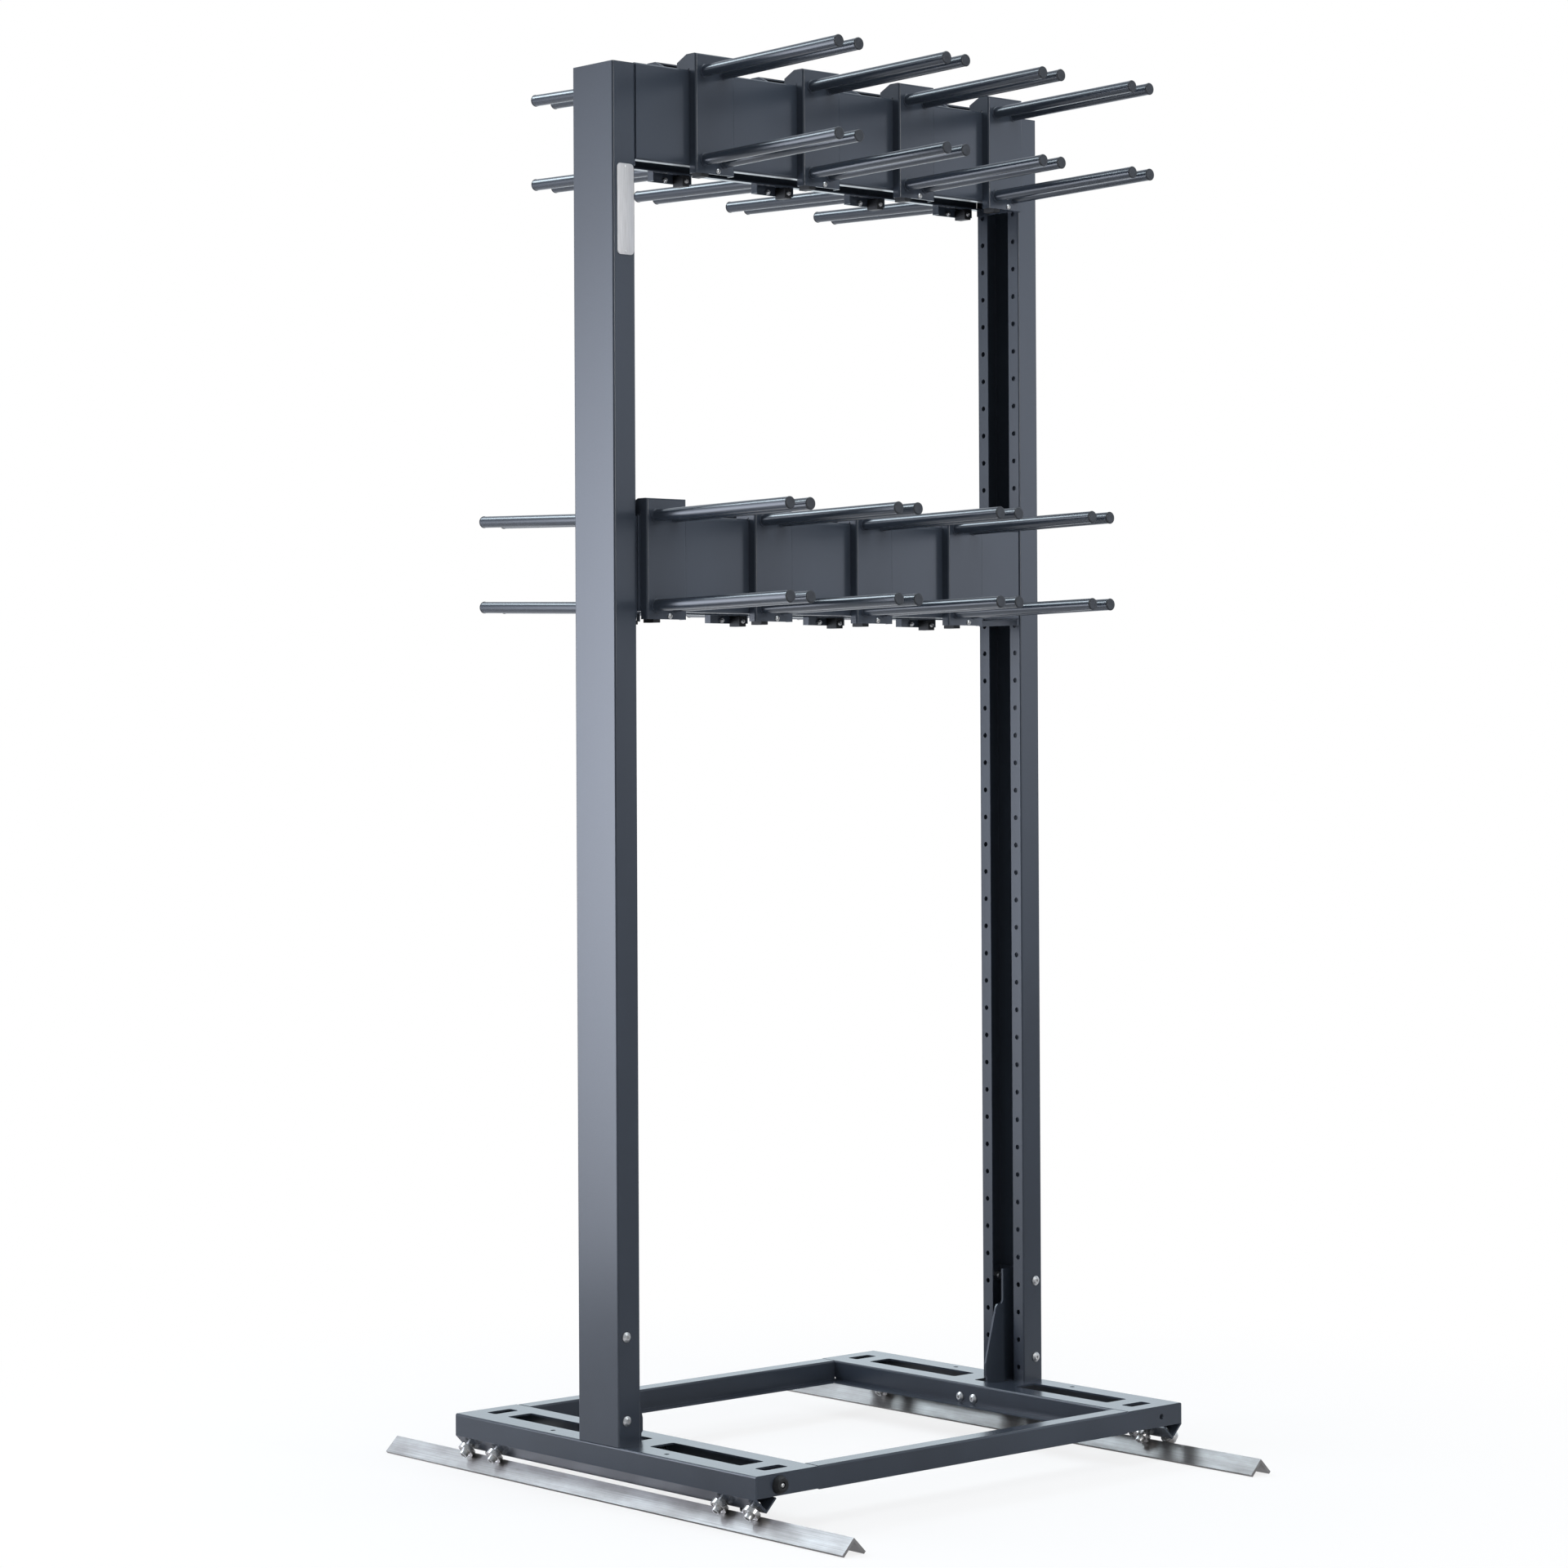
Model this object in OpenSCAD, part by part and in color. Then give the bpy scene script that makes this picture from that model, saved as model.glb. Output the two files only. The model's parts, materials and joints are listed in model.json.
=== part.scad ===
// Rolling two level ski rack on floor rails.
// Millimetres, Z up, X along the beams, minus Y towards the front pegs.
// The floor is at Z zero and the rack stands centred on the origin.

/* [Rails] */
// Leg length of the angle iron rail.
rail_leg = 35; // [30:1:45]
// Wall thickness of the angle iron rail.
rail_t = 5; // [3:0.5:6]
// Length of each floor rail.
rail_len = 1200; // [1100:10:2400]

/* [Base frame] */
// Width of the base over the outer side walls, along the beams.
base_w = 998; // [960:1:1100]
// Length of the base along the rails.
base_l = 790; // [780:1:900]
// Height of the side walls of the base.
base_h = 38; // [34:1:50]
// Width of the flat top of each end section.
section_w = 137; // [130:1:150]
// Sheet thickness of the base.
sheet_t = 3; // [2:0.5:4]
// Outer radius of the long folds of the base.
fold_r = 3.5; // [3:0.5:5]
// Half width and depth of the folded V that carries the rollers.
v_half = 23.5; // [22:0.5:26]
// Free height between the tip of the V and the top of the rail.
v_gap = 7; // [6:0.5:9]
// Width of the two cross bars.
bar_w = 36; // [30:1:45]
// Width of the lip round the lower edge of the window.
window_lip = 20; // [10:1:24]
// Diameter of the relief holes in the window corners, above the lip.
relief_d = 5; // [3:0.5:6]

/* [Slots in the base] */
// Width of every slot, along the beams.
slot_w = 52; // [40:1:54]
// Distance from the outer wall to the slots.
slot_in = 45; // [44:1:50]
// Start of the long slot, measured from the middle.
long_a = 77; // [70:1:90]
// End of the long slot, measured from the middle.
long_b = 307; // [280:1:315]
// Start of the short slot, measured from the middle.
short_a = 341; // [330:1:345]
// End of the short slot, measured from the middle.
short_b = 366; // [355:1:370]
// Half length of the slot under the post.
mid_slot = 26; // [20:1:30]
// Corner radius of the slots.
slot_r = 5; // [2:0.5:8]
// Diameter of the small holes in the top of the base.
small_hole_d = 9; // [6:0.5:12]
// Distance of the small holes from the middle, along the rails.
small_hole_y = 150; // [140:1:180]
// Distance of the small holes from the outer wall.
small_hole_x = 22; // [20:0.5:26]

/* [Rollers] */
// Outer diameter of the ball bearings that roll on the rails.
roller_d = 30; // [28:1:32]
// Width of the bearings.
roller_w = 9; // [8:0.5:10]
// Outer diameter of the inner ring.
inner_d = 16; // [14:0.5:17]
// Distance of the bearing middle from the rail top, down the slope.
roller_down = 5; // [4.8:0.1:7]
// Running gap between bearing and rail, and inside the bearing.
run_gap = 0.3; // [0.2:0.05:0.5]
// Nearer outer bearing, measured from the middle of the base.
roller_y1 = 297; // [290:1:300]
// Farther outer bearing, measured from the middle of the base.
roller_y2 = 375; // [370:1:378]
// Shank diameter of the bearing screws.
axle_d = 10; // [8:0.5:10]
// Head diameter of the bearing screws.
axle_head_d = 14.5; // [13:0.5:16]
// Head height of the bearing screws.
axle_head_h = 7; // [5:0.5:8]

/* [Posts] */
// Depth of the post section, along the rails.
post_d = 106; // [100:1:110]
// Width of the post section, along the beams.
post_w = 47; // [44:1:55]
// Height of the posts above the base.
post_h = 2299; // [2290:1:2310]
// Sheet thickness of posts.
post_t = 2.5; // [2:0.5:2.5]
// Outer bend radius of the posts.
post_r = 3; // [3:0.5:6]
// Width of the return lips with the hole rows.
post_lip = 26; // [24:1:28]
// Distance between two holes of a row.
hole_pitch = 50; // [40:1:60]
// Height of the first hole above the base.
hole_first = 25; // [20:1:30]
// Distance of the hole rows from the post face.
hole_in = 14; // [11:0.5:15]
// Diameter of the row holes.
hole_d = 9; // [8:0.5:10]

/* [Feet] */
// Height of the foot inside the post.
foot_h = 200; // [190:1:240]
// Sheet thickness of the foot.
foot_t = 4; // [3:0.5:5]
// Outer bend radius of the foot.
foot_r = 6; // [5.5:0.5:8]
// Lower bolt height above the base.
bolt_low = 42; // [36:1:50]
// Upper bolt height above the base.
bolt_high = 181; // [160:1:185]
// Distance of the bolts from the outer post face.
bolt_in = 17; // [15:0.5:20]
// Distance between the two bolts in the inner wall of an end section.
tab_bolts = 34; // [30:1:40]
// Middle of these two bolts along the rails.
tab_y = 4; // [0:1:8]
// Height of these two bolts above the window lip.
tab_z = 9.5; // [9:0.5:11]
// Reach of the foot web from the outer wall, at its foot.
web_reach = 94; // [90:0.5:96]
// Height of the step in the free edge of the foot web.
web_step = 138; // [120:1:150]

/* [Beams] */
// Height of the beams.
beam_h = 162; // [155:1:170]
// Sheet thickness of the beams.
beam_t = 2.5; // [2:0.5:3]
// Outer bend radius of the beams.
beam_r = 4; // [3:0.5:6]
// Width of the two bottom lips of a beam.
beam_lip = 18; // [14:1:20]
// Height of the top beam above the post ends.
beam_over = 2; // [1:0.5:5]
// Height step from the middle beam to the top beam.
beam_step = 754; // [700:1:800]
// Thickness of the beam end plates.
end_t = 3; // [2.5:0.5:3.5]
// Depth the end plates hang below a beam.
end_drop = 10; // [8:1:20]
// Amount by which the end plates stand back from the beam faces.
end_back = 3; // [2:0.5:4]
// Gap between end plates and post lips.
end_gap = 0.4; // [0.3:0.1:0.6]

/* [Hangers] */
// Places of the front hangers on the top beam, as a share of their reach from the middle.
top_front = [-0.713, -0.112, 0.45, 0.996]; // [-1:0.001:1]
// Places of the rear hangers on the top beam, as a share of their reach.
top_rear = [-0.692, -0.111, 0.434, 0.976]; // [-1:0.001:1]
// Places of the front hangers on the middle beam, as a share of their reach.
mid_front = [-0.987, -0.396, 0.185, 0.735]; // [-1:0.001:1]
// Places of the rear hangers on the middle beam, as a share of their reach.
mid_rear = [-0.986, -0.386, 0.178, 0.735]; // [-1:0.001:1]
// Width of a hanger plate.
hanger_w = 86; // [80:1:92]
// Height of a hanger plate.
hanger_h = 202; // [200:1:206]
// Drop of the hanger plate below the beam.
hanger_drop = 13; // [12:0.5:16]
// Distance of the hanger plate face in front of the beam.
hanger_proud = 17.1; // [16:0.1:20]
// Sheet thickness of a hanger.
hanger_t = 2.5; // [2:0.5:3]
// Outer bend radius of a hanger.
hanger_r = 3.5; // [3:0.5:5]
// Depth of the top fold, which is also the flat top of the side flanges.
ear_flat = 24; // [20:1:28]
// Full length of the side flange over the beam.
ear_len = 49; // [40:1:52]
// Height of the flange end above the beam.
ear_end = 15; // [10:0.5:16]
// Gap between a hanger and its beam.
hang_gap = 0.3; // [0.25:0.05:0.5]

/* [Pegs] */
// Outer diameter of the pegs.
peg_d = 20; // [18:0.5:22]
// Wall thickness of the pegs.
peg_t = 2; // [1.5:0.5:3]
// Length of the pegs in front of the hanger plate.
peg_len = 332; // [250:1:350]
// Distance between two pegs side by side.
peg_gap = 44; // [40:0.5:48]
// Height of the lower pegs above the bottom of the hanger plate.
peg_low = 23; // [22:0.5:28]
// Height step from lower to upper pegs.
peg_step = 150; // [140:1:152]
// Upward tilt of the front pegs in degrees.
front_tilt = 1; // [0:0.1:2]
// Upward tilt of the rear pegs in degrees.
rear_tilt = 1.6; // [0:0.1:2]
// Diameter of the weld seam around the peg foot.
weld_d = 24; // [22.5:0.5:26]
// Diameter of the peg caps.
cap_d = 21; // [20:0.5:23]
// Thickness of the peg caps.
cap_t = 3; // [2:0.5:4]

/* [Clamps and small parts] */
// Size of the clamp block along the beam.
block_x = 15.5; // [12:0.5:20]
// Size of the clamp block across the beam.
block_y = 26; // [22:1:31]
// Drop of the clamp block below the hanger plate.
block_drop = 5.5; // [2:0.5:7]
// Distance of the clamp block from the hanger middle.
block_off = 13; // [8:0.5:16]
// Distance of the hanger bolt from the hanger middle.
hbolt_x = 6; // [5:0.5:10]
// Height of the hanger bolt above the bottom of the plate.
hbolt_z = 5.5; // [5.5:0.5:9]
// Head diameter of the frame bolts.
head_d = 17; // [14:0.5:17.5]
// Head height of the frame bolts.
head_h = 5; // [4:0.5:6]
// Shank diameter of the frame bolts.
bolt_d = 8; // [6:0.5:8]
// Head diameter of the hanger bolts.
hbolt_d = 9.5; // [8:0.5:11]
// Shank diameter of the hanger bolts.
hshank_d = 5; // [4:0.5:6]
// Diameter of the rubber buffers.
buffer_d = 30; // [24:1:32]
// Length of the rubber buffers.
buffer_l = 10; // [8:1:20]
// Distance of the buffer holes from the outer wall.
buffer_in = 51; // [48:1:60]
// Diameter of the buffer holes.
buffer_hole_d = 10; // [8:0.5:11]

/* [Hidden] */
// Smoothness of round shapes.
$fn = 48;
// Sine of forty five degrees.
k = sqrt(0.5);
// Small overlap for clean cuts.
e = 0.01;
// Clearance between pieces that are bolted or laid together.
fit = 0.3;
// Clearance of a hole round its bolt, on the diameter.
bolt_gap = 0.6;
// Height of the ridge of a rail.
rail_top = (rail_leg + rail_t) * k;
// Height of the tip of the V.
v_z = rail_top + v_gap;
// Height of the lower edge of the base walls.
wall_z = v_z + v_half;
// Height of the top of the base.
base_z = wall_z + base_h;
// Outer wall of the base.
xo = base_w / 2;
// Inner wall of an end section.
xi = xo - section_w;
// Tip of the V.
xv = xo - v_half;
// Half length of the base.
yb = base_l / 2;
// Middle height of the base walls.
wall_mid = wall_z + base_h / 2;
// Positions of the buffers.
xb = xo - buffer_in;
// Height of the post ends.
post_z = base_z + post_h;
// Lip plane of the posts.
lip_x = xo - post_w;
// Number of holes in one row.
hole_n = floor((post_h - hole_first) / hole_pitch) + 1;
// Depth of the beams.
beam_d = post_d;
// Underside of the top beam.
top_z = post_z + beam_over - beam_h;
// Underside of the middle beam.
mid_z = top_z - beam_step;
// Half length of a beam body.
beam_half = lip_x - end_gap - end_t;
// Distance from the middle of a bearing to the plate of the V.
roller_off = roller_down + v_gap * k;
// Distance from the rail slope to the axis of a bearing.
roll_r = roller_d / 2 + run_gap;
// Place of the single inner bearing along the rails.
roller_mid = (roller_y1 + roller_y2) / 2;
// Front and rear edge of the window in the base.
window_y = yb - bar_w;
// Height of the two bolts in the inner wall of an end section.
tab_bolt_z = wall_z + sheet_t + tab_z;
// Inner face of the foot towards the outer wall of the post.
foot_x = xo - post_t - fit;
// Inner faces of the foot towards front and rear.
foot_y = post_d / 2 - post_t - fit;
// Reach of a hanger middle along its beam, measured from the middle.
hang_reach = beam_half - hanger_w / 2;
// Top of the hanger plate, measured from the underside of the beam.
hanger_top = hanger_h - hanger_drop;
// Outer face of a hanger plate.
plate_y = beam_d / 2 + hanger_proud;
// Depth of the side flanges of a hanger.
flange = hanger_proud - hang_gap;

// Rectangle with exact round corners, centred.
module rrect(x, y, r) {
    square([x - 2 * r, y], center = true);
    square([x, y - 2 * r], center = true);
    for (i = [-1, 1], j = [-1, 1])
        translate([i * (x / 2 - r), j * (y / 2 - r)])
            circle(r = r);
}

// Cutter that rounds an outer corner at the origin, material towards minus X and minus Y.
module corner_cut(r) {
    difference() {
        translate([-r, -r])
            square(r + 1);
        translate([-r, -r])
            circle(r = r);
    }
}

// Lays a profile drawn in X and Z along the rails.
module along_y(l) {
    rotate([90, 0, 0])
        translate([0, 0, -l / 2])
            linear_extrude(l)
                children();
}

// Lays a profile drawn in Y and Z along the beams.
module along_x(l) {
    rotate([90, 0, 90])
        translate([0, 0, -l / 2])
            linear_extrude(l)
                children();
}

// Round cutter along X, starting before the plane at X zero.
module drill_x(d, t) {
    translate([-1, 0, 0])
        rotate([0, 90, 0])
            cylinder(d = d, h = t + 2);
}

// Round cutter along Y towards the middle, for the faces in front and behind.
module drill_y(s, d, t) {
    translate([0, s, 0])
        rotate([s * 90, 0, 0])
            cylinder(d = d, h = t + 2);
}

// Angle iron lying roof up on the floor, on the side s.
module rail(s) {
    color("#b9bbbd")
    translate([s * xv, 0, rail_top])
        along_y(rail_len)
            rotate(-135)
                difference() {
                    square(rail_leg);
                    translate([rail_t, rail_t])
                        square(rail_leg);
                }
}

// Moves children to one bearing on the plus X side, Z pointing into the plate.
// The factor m is 1 on the outer face of the V and -1 on the inner face.
module roller_at(m, y) {
    translate([xv + m * (roll_r + roller_down) * k, y, rail_top + (roll_r - roller_down) * k])
        rotate([0, -45 * m, 0])
            children();
}

// Puts children at all six bearings of the plus X side.
module roller_places() {
    for (y = [-roller_y2, -roller_y1, roller_y1, roller_y2])
        roller_at(1, y)
            children();
    for (y = [-roller_mid, roller_mid])
        roller_at(-1, y)
            children();
}

// Cross section of an end section: flat top, two walls and the folded V.
module section_profile() {
    t = sheet_t;
    bend = t * tan(22.5);
    end_x = xo - 2 * v_half + t * k;
    end_z = wall_z - t * k;
    difference() {
        polygon([[xi, wall_z], [xi, base_z], [xo, base_z], [xo, wall_z], [xv, v_z],
            [end_x, end_z], [end_x + t * k, end_z + t * k], [xv, v_z + 2 * t * k],
            [xo - t, wall_z + bend], [xo - t, base_z - t], [xi + t, base_z - t], [xi + t, wall_z]]);
        translate([xo, base_z])
            corner_cut(fold_r);
        translate([xi, base_z])
            mirror([1, 0])
                corner_cut(fold_r);
        translate([xi + t, wall_z])
            mirror([0, 1])
                corner_cut(fold_r);
    }
}

// Lip along one side of the window at X zero, towards minus X, with mitred ends.
module mitred_lip(half_l, gap) {
    end = half_l - gap;
    translate([0, 0, wall_z])
        linear_extrude(sheet_t)
            polygon([[e, -end], [e, end], [0, end], [-window_lip, end - window_lip],
                [-window_lip, window_lip - end], [0, -end]]);
}

// Slot through the top of the base from one place along the rails to another.
module top_slot(a, b) {
    translate([xo - slot_in - slot_w / 2, (a + b) / 2, base_z - sheet_t - 1])
        linear_extrude(sheet_t + 2)
            rrect(slot_w, abs(b - a), slot_r);
}

// Folded end section on the plus X side with its slots and holes.
module end_section() {
    color("#3f454c")
    difference() {
        union() {
            along_y(base_l)
                section_profile();
            translate([xi, 0, 0])
                mitred_lip(window_y, fit);
        }
        for (s = [-1, 1]) {
            top_slot(s * long_a, s * long_b);
            top_slot(s * short_a, s * short_b);
            translate([xo - small_hole_x, s * small_hole_y, base_z - sheet_t - 1])
                cylinder(d = small_hole_d, h = sheet_t + 2);
            translate([xi - 1, s * (yb - sheet_t / 2) - sheet_t / 2 - fit, wall_z - 1])
                cube([sheet_t + 1, sheet_t + 2 * fit, base_h - sheet_t + 1]);
            translate([xi, tab_y + s * tab_bolts / 2, tab_bolt_z])
                drill_x(bolt_d + bolt_gap, sheet_t);
            translate([xi, s * window_y, wall_z + sheet_t + relief_d / 2])
                drill_x(relief_d, sheet_t);
        }
        top_slot(-mid_slot, mid_slot);
        roller_places()
            translate([0, 0, roller_off - 1])
                cylinder(d = axle_d + bolt_gap, h = sheet_t + 2);
    }
}

module section_right() {
    end_section();
}

module section_left() {
    mirror([1, 0, 0])
        end_section();
}

// Front bar of the base, open below, with covers that close the ends of both sections.
module cross_bar() {
    t = sheet_t;
    half = xi - fit;
    cover = xo - t - fit;
    cover_z = wall_z + t * tan(22.5) + fit;
    color("#3f454c")
    difference() {
        union() {
            translate([-cover, -yb, cover_z])
                cube([2 * cover, t, base_z - t - fit - cover_z]);
            translate([-half, -yb, wall_z])
                cube([2 * half, t, base_h]);
            translate([-half, -yb, base_z - t])
                cube([2 * half, bar_w, t]);
            translate([-half, -window_y - t, wall_z])
                cube([2 * half, t, base_h]);
            translate([0, -window_y, 0])
                rotate([0, 0, -90])
                    mitred_lip(xi, fit);
        }
        for (s = [-1, 1]) {
            translate([s * xb, -yb, wall_mid])
                drill_y(-1, buffer_hole_d, t);
            translate([s * xi, -window_y - t, wall_z + t + relief_d / 2])
                drill_y(-1, relief_d, t);
        }
        translate([0, -yb, base_z])
            along_x(base_w)
                mirror([1, 0])
                    corner_cut(fold_r);
        translate([0, -window_y, base_z])
            along_x(base_w)
                corner_cut(fold_r);
        translate([0, -window_y - t, wall_z])
            along_x(base_w)
                rotate(180)
                    corner_cut(fold_r);
    }
}

module cross_bar_front() {
    cross_bar();
}

module cross_bar_rear() {
    rotate([0, 0, 180])
        cross_bar();
}

// Rubber stop with a stem through its hole and a recessed screw.
module buffer() {
    body = buffer_l * 0.6;
    recess = 4;
    stem = sheet_t + 5;
    difference() {
        union() {
            cylinder(d = buffer_d, h = body);
            translate([0, 0, body])
                cylinder(d1 = buffer_d, d2 = buffer_d - 5, h = buffer_l - body);
            translate([0, 0, -stem])
                cylinder(d = buffer_hole_d - bolt_gap, h = stem + e);
        }
        translate([0, 0, buffer_l - recess])
            cylinder(d = head_d * 0.6, h = recess + e);
    }
    translate([0, 0, buffer_l - recess - e])
        cylinder(d = head_d * 0.45, h = recess / 2);
}

module rail_buffers() {
    color("#1a1a1b")
    for (a = [0, 180])
        rotate([0, 0, a])
            translate([-xb, -yb, wall_mid])
                rotate([90, 0, 0])
                    buffer();
}

// Lipped channel post on the plus X side with two rows of holes.
module post() {
    color("#3f454c")
    difference() {
        translate([xo - post_w / 2, 0, base_z])
            linear_extrude(post_h)
                difference() {
                    rrect(post_w, post_d, post_r);
                    rrect(post_w - 2 * post_t, post_d - 2 * post_t, post_r - post_t);
                    translate([-post_w / 2, 0])
                        square([post_w, post_d - 2 * post_lip], center = true);
                }
        for (s = [-1, 1]) {
            for (i = [0 : hole_n - 1])
                translate([lip_x, s * (post_d / 2 - hole_in), base_z + hole_first + i * hole_pitch])
                    drill_x(hole_d, post_t);
            for (z = [bolt_low, bolt_high])
                translate([xo - bolt_in, s * post_d / 2, base_z + z])
                    drill_y(s, bolt_d + bolt_gap, post_t);
        }
    }
}

module post_right() {
    post();
}

module post_left() {
    rotate([0, 0, 180])
        post();
}

// Outline of the foot web in X and Z, with the stepped free edge on the inner side.
module foot_web() {
    top = base_z + foot_h;
    slot_end = xo - slot_in - 1;
    under = base_z - sheet_t - 1;
    low = wall_z + 2;
    near = xi + sheet_t + 1;
    reach = xo - web_reach;
    notch = reach + 3;
    step = base_z + web_step;
    edge = lip_x - 2;
    polygon([[foot_x - 1, base_z], [foot_x - 1, top], [edge, top], [edge, step + 5],
        [edge - 3, step], [edge - 14, step - 1], [edge - 18, step - 6],
        [notch, base_z + bolt_low + 3], [reach, base_z + 32], [reach, base_z + 10],
        [notch, base_z + 7], [notch, under], [near, under], [near, low],
        [xo - 3 * v_half, low], [slot_end, under - 4], [slot_end, base_z]]);
}

// Foot on the plus X side: channel inside the post, web through the slot and bolted tab.
module foot() {
    t = foot_t;
    side = xo - 2 * bolt_in + 4;
    leg = foot_x - side;
    tab_w = tab_bolts + 2 * 9;
    color("#34393f")
    difference() {
        union() {
            translate([side, 0, base_z])
                linear_extrude(foot_h)
                    difference() {
                        rrect(2 * leg, 2 * foot_y, foot_r);
                        rrect(2 * (leg - t), 2 * (foot_y - t), foot_r - t);
                        translate([-leg, 0])
                            square([2 * leg, 2 * foot_y + 2], center = true);
                    }
            along_y(t)
                foot_web();
            translate([xi + sheet_t + fit, tab_y - tab_w / 2, wall_z + 2])
                cube([t, tab_w, base_h - sheet_t - 6]);
        }
        for (s = [-1, 1]) {
            for (z = [bolt_low, bolt_high])
                translate([xo - bolt_in, s * foot_y, base_z + z])
                    drill_y(s, bolt_d + bolt_gap, t);
            translate([xi + sheet_t + fit, tab_y + s * tab_bolts / 2, tab_bolt_z])
                drill_x(bolt_d + bolt_gap, t);
        }
    }
}

module post_foot_right() {
    foot();
}

module post_foot_left() {
    mirror([1, 0, 0])
        foot();
}

// Button head bolt with a hexagon socket, head above Z zero, and a nut under the stack t.
module frame_bolt(t) {
    nut = 6.5;
    difference() {
        union() {
            cylinder(d = head_d, h = head_h * 0.35);
            translate([0, 0, head_h * 0.35])
                cylinder(d1 = head_d, d2 = head_d * 0.55, h = head_h * 0.65);
            translate([0, 0, -t - nut - 2])
                cylinder(d = bolt_d, h = t + nut + 2 + e);
            translate([0, 0, -t - nut])
                cylinder(d = bolt_d * 1.6 / cos(30), h = nut, $fn = 6);
        }
        translate([0, 0, head_h * 0.45])
            cylinder(d = bolt_d * 0.6 / cos(30), h = head_h, $fn = 6);
    }
}

module frame_bolts() {
    color("#c4c7c9")
    for (a = [0, 180])
        rotate([0, 0, a]) {
            for (s = [-1, 1], z = [bolt_low, bolt_high])
                translate([xo - bolt_in, s * post_d / 2, base_z + z])
                    rotate([-s * 90, 0, 0])
                        frame_bolt(post_t + fit + foot_t);
        }
    color("#c4c7c9")
    for (m = [0, 1], s = [-1, 1])
        mirror([m, 0, 0])
            translate([xi, tab_y + s * tab_bolts / 2, tab_bolt_z])
                rotate([0, -90, 0])
                    frame_bolt(sheet_t + fit + foot_t);
}

// Height above the underside z of a beam where its lowest pin meets a row hole.
function pin_low(z) = ceil((z + 12 - base_z - hole_first) / hole_pitch) * hole_pitch
    + base_z + hole_first - z;

// Lipped channel beam with end plates and the pins that sit in the post holes.
module beam(z) {
    pin_l = end_t + end_gap + post_t + 3;
    plate_h = beam_h + end_drop - end_back;
    color("#3f454c")
    translate([0, 0, z]) {
        translate([0, 0, beam_h / 2])
            along_x(2 * beam_half)
                difference() {
                    rrect(beam_d, beam_h, beam_r);
                    rrect(beam_d - 2 * beam_t, beam_h - 2 * beam_t, beam_r - beam_t);
                    translate([0, -beam_h / 2])
                        square([beam_d - 2 * beam_lip, beam_h], center = true);
                }
        for (s = [-1, 1]) {
            translate([s * (beam_half + end_t / 2), 0, plate_h / 2 - end_drop])
                cube([end_t, beam_d - 2 * end_back, plate_h], center = true);
            for (j = [-1, 1], i = [0, 2])
                translate([s * beam_half, j * (post_d / 2 - hole_in), pin_low(z) + i * hole_pitch])
                    rotate([0, s * 90, 0])
                        cylinder(d = hole_d - 2 * fit, h = pin_l);
        }
    }
}

module beam_top() {
    beam(top_z);
}

module beam_middle() {
    beam(mid_z);
}

// Screw, washer, inner ring, spacer and nut collar of one bearing.
module axle() {
    h = roller_w / 2;
    washer = 1;
    collar = 7;
    socket = 4;
    head_z = -h - washer - axle_head_h;
    difference() {
        union() {
            translate([0, 0, head_z])
                cylinder(d = axle_head_d, h = axle_head_h);
            translate([0, 0, -h - washer])
                cylinder(d = axle_head_d + 2, h = washer);
            translate([0, 0, -h])
                cylinder(d = inner_d, h = roller_off + h - e);
            cylinder(d = axle_d, h = roller_off + sheet_t + collar);
            translate([0, 0, roller_off + sheet_t])
                cylinder(d = axle_d * 1.25, h = collar);
        }
        translate([0, 0, head_z - e])
            cylinder(d = axle_d * 0.8 / cos(30), h = socket, $fn = 6);
    }
}

module roller_axles() {
    color("#c4c7c9")
    for (m = [0, 1])
        mirror([m, 0, 0])
            roller_places()
                axle();
}

// Outer ring and shields of one ball bearing.
module roller() {
    bore = inner_d / 2 + run_gap;
    r = roller_d / 2;
    h = roller_w / 2;
    edge = 0.6;
    ring = r - 3;
    shield = h - 0.8;
    color("#b9bcc0")
    rotate_extrude()
        polygon([[bore, -shield], [ring, -shield], [ring, -h], [r - edge, -h], [r, -h + edge],
            [r, h - edge], [r - edge, h], [ring, h], [ring, shield], [bore, shield]]);
}

// One bearing of the plus X side, or of the minus X side with mirrored set to 1.
module roller_node(mirrored, m, y) {
    mirror([mirrored, 0, 0])
        roller_at(m, y)
            roller();
}

// Moves children to one hanger of the top beam, turned round for the rear side.
module on_top(share, rear) {
    translate([share * hang_reach, 0, top_z])
        rotate([0, 0, rear * 180])
            children();
}

// Moves children to one hanger of the middle beam, turned round for the rear side.
module on_mid(share, rear) {
    translate([share * hang_reach, 0, mid_z])
        rotate([0, 0, rear * 180])
            children();
}

// Puts children at the foot of each peg, Z pointing along the tilted peg.
module peg_places(tilt) {
    for (x = [-1, 1], z = [0, 1])
        translate([x * peg_gap / 2, -plate_y, peg_low + z * peg_step - hanger_drop])
            rotate([90 - tilt, 0, 0])
                children();
}

// Part of a hanger side flange that reaches over the beam, in Y and Z.
module ear_profile() {
    back = -beam_d / 2 - hang_gap;
    low = beam_h + hang_gap;
    overlap = beam_h - 10;
    difference() {
        polygon([[hanger_r - plate_y, overlap], [hanger_r - plate_y, hanger_top],
            [ear_flat - plate_y, hanger_top], [ear_len - plate_y, beam_h + ear_end],
            [ear_len - plate_y, low], [back, low], [back, overlap]]);
        translate([back, low])
            circle(r = 2.5);
    }
}

// Fold along the top edge of a hanger, in Y and Z, with a square outer corner.
module top_fold_profile() {
    t = hanger_t;
    polygon([[-plate_y, hanger_top - 2 * hanger_r], [-plate_y, hanger_top], [ear_flat - plate_y, hanger_top],
        [ear_flat - plate_y, hanger_top - t], [t - plate_y, hanger_top - t],
        [t - plate_y, hanger_top - 2 * hanger_r]]);
}

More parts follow.
